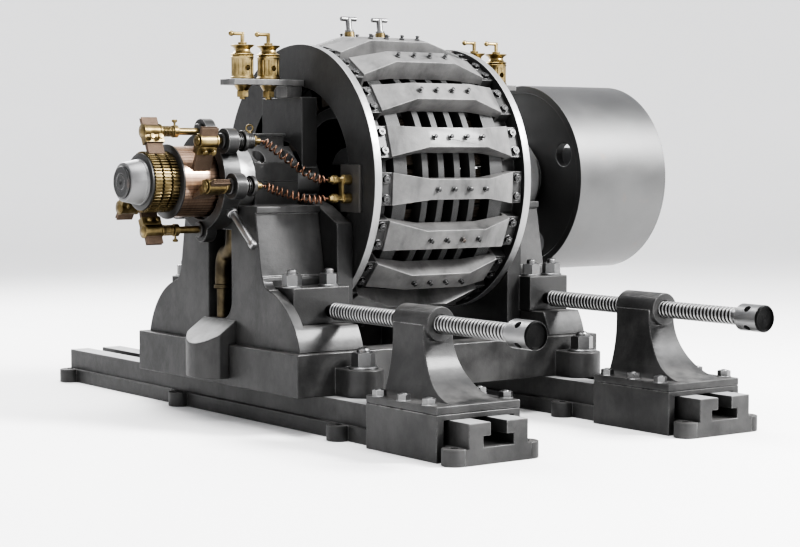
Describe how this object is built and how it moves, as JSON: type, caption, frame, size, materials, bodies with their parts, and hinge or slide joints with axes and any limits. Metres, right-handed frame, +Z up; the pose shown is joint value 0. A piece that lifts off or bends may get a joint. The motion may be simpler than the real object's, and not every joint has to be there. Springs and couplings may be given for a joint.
{
  "type": "dynamo",
  "caption": "Belt-driven antique dynamo on slide rails: barred drum, spoked magnet rotor, overhung pulley, commutator with rocker brushes, tension screws and terminals.",
  "frame": {"origin": "on the floor below the middle of the drum, at the centre of the foundation bolts", "axes": "+X along the shaft to the pulley, +Y away from the tension screws, +Z up"},
  "size_m": [1.577, 2.036, 1.0308],
  "materials": {
    "cast_iron": "rough painted casting",
    "painted_iron": "dark painted casting",
    "yoke_iron": "planed iron",
    "bright_steel": "turned",
    "brass": "dulled",
    "copper": "dull copper",
    "insulation": "slate and hard rubber"
  },
  "bodies": {
    "foundation": {"left_rail": "cast_iron", "right_rail": "cast_iron", "bracket_bases": "cast_iron", "screw_pedestals": "cast_iron", "bracket_bolts": "bright_steel"},
    "machine": {"bed": "painted_iron", "clamp_bolts": "bright_steel", "front_pedestal": "painted_iron", "rear_pedestal": "painted_iron", "front_end_frame": "painted_iron", "rear_end_frame": "painted_iron", "foot_bolts": "bright_steel", "front_ring": "painted_iron", "rear_ring": "painted_iron", "stator_bars": "yoke_iron", "bar_bolts": "bright_steel", "bar_screws": "bright_steel", "core_hoops": "yoke_iron", "core_teeth": "yoke_iron", "armature_coils": "copper", "front_bearing_cap": "painted_iron", "front_bush": "brass", "rear_bearing_cap": "painted_iron", "rear_bush": "brass", "cap_bolts": "bright_steel", "terminal_shelves": "painted_iron", "terminal_posts": "brass", "terminal_nuts": "brass", "handle_bosses": "brass", "lead_plate": "insulation", "lead_studs_and_link": "brass", "upper_lead": "copper", "lower_lead": "copper", "drip_box": "painted_iron", "drain_pipe": "brass"},
    "rotor": {"shaft": "bright_steel", "magnet_wheel": "painted_iron", "rotor_poles": "yoke_iron", "rotor_coils": "copper", "commutator": "copper", "collector_rings": "brass", "end_collar": "bright_steel", "pulley": "bright_steel"},
    "rocker": {"rocker_ring": "painted_iron", "rocker_handle": "bright_steel", "brush_studs": "brass", "stud_bushes": "insulation"},
    "upper_brush": {"upper_brush": "brass"},
    "side_brush": {"side_brush": "brass"},
    "top_ring_brush": {"top_ring_brush": "brass"},
    "low_ring_brush": {"low_ring_brush": "brass"},
    "far_ring_brush": {"far_ring_brush": "brass"},
    "front_outer_crank": {"front_outer_crank": "brass"},
    "front_inner_crank": {"front_inner_crank": "brass"},
    "rear_inner_crank": {"rear_inner_crank": "brass"},
    "rear_outer_crank": {"rear_outer_crank": "brass"},
    "front_t_screw": {"front_t_screw": "bright_steel"},
    "rear_t_screw": {"rear_t_screw": "bright_steel"},
    "left_tension_screw": {"left_tension_screw": "bright_steel"},
    "right_tension_screw": {"right_tension_screw": "bright_steel"}
  },
  "joints": [
    {"name": "bed_slide", "type": "slide", "parent": "foundation", "child": "machine", "axis": [0, 1, 0], "range_m": [-0.1, 0.2]},
    {"name": "rotor_spin", "type": "hinge", "parent": "machine", "child": "rotor", "pos_m": [0, 0, 0.6], "axis": [1, 0, 0], "continuous": true},
    {"name": "rocker_swing", "type": "hinge", "parent": "machine", "child": "rocker", "pos_m": [-0.511, 0, 0.6], "axis": [1, 0, 0], "range_deg": [-12, 8], "deforming": ["upper_lead", "lower_lead"]},
    {"name": "upper_brush_lift", "type": "hinge", "parent": "rocker", "child": "upper_brush", "pos_m": [-0.58, -0.112, 0.7], "axis": [1, 0, 0], "range_deg": [-25, 0], "stiffness_Nm_per_rad": 2, "springref_deg": 22.92},
    {"name": "side_brush_lift", "type": "hinge", "parent": "rocker", "child": "side_brush", "pos_m": [-0.58, -0.15, 0.59], "axis": [1, 0, 0], "range_deg": [-25, 0], "stiffness_Nm_per_rad": 2, "springref_deg": 22.92},
    {"name": "top_ring_brush_lift", "type": "hinge", "parent": "rocker", "child": "top_ring_brush", "pos_m": [-0.67, 0, 0.724], "axis": [1, 0, 0], "range_deg": [-25, 0], "stiffness_Nm_per_rad": 2, "springref_deg": 22.92},
    {"name": "low_ring_brush_lift", "type": "hinge", "parent": "rocker", "child": "low_ring_brush", "pos_m": [-0.67, 0, 0.48], "axis": [1, 0, 0], "range_deg": [-25, 0], "stiffness_Nm_per_rad": 2, "springref_deg": 22.92},
    {"name": "far_ring_brush_lift", "type": "hinge", "parent": "rocker", "child": "far_ring_brush", "pos_m": [-0.67, 0.125, 0.534], "axis": [1, 0, 0], "range_deg": [-25, 0], "stiffness_Nm_per_rad": 2, "springref_deg": 22.92},
    {"name": "front_outer_crank_turn", "type": "hinge", "parent": "machine", "child": "front_outer_crank", "pos_m": [-0.41, 0, 0.857], "axis": [0, 0, 1], "range_deg": [-360, 360]},
    {"name": "front_inner_crank_turn", "type": "hinge", "parent": "machine", "child": "front_inner_crank", "pos_m": [-0.333, 0, 0.857], "axis": [0, 0, 1], "range_deg": [-360, 360]},
    {"name": "rear_inner_crank_turn", "type": "hinge", "parent": "machine", "child": "rear_inner_crank", "pos_m": [0.333, 0, 0.857], "axis": [0, 0, 1], "range_deg": [-360, 360]},
    {"name": "rear_outer_crank_turn", "type": "hinge", "parent": "machine", "child": "rear_outer_crank", "pos_m": [0.41, 0, 0.857], "axis": [0, 0, 1], "range_deg": [-360, 360]},
    {"name": "front_t_screw_turn", "type": "hinge", "parent": "machine", "child": "front_t_screw", "pos_m": [-0.05, 0.04582, 0.9732], "axis": [0, 0.1219, 0.9925], "range_deg": [-360, 360]},
    {"name": "rear_t_screw_turn", "type": "hinge", "parent": "machine", "child": "rear_t_screw", "pos_m": [0.05, 0.04582, 0.9732], "axis": [0, 0.1219, 0.9925], "range_deg": [-360, 360]},
    {"name": "left_screw_turn", "type": "hinge", "parent": "machine", "child": "left_tension_screw", "pos_m": [-0.345, -0.3, 0.287], "axis": [0, 1, 0], "range_deg": [-3100, 6100]},
    {"name": "right_screw_turn", "type": "hinge", "parent": "machine", "child": "right_tension_screw", "pos_m": [0.345, -0.3, 0.287], "axis": [0, 1, 0], "range_deg": [-3100, 6100]}
  ],
  "couplings": [
    {"joint": "left_screw_turn", "follows": "bed_slide", "rad_per_m": 523.6},
    {"joint": "right_screw_turn", "follows": "bed_slide", "rad_per_m": 523.6}
  ]
}
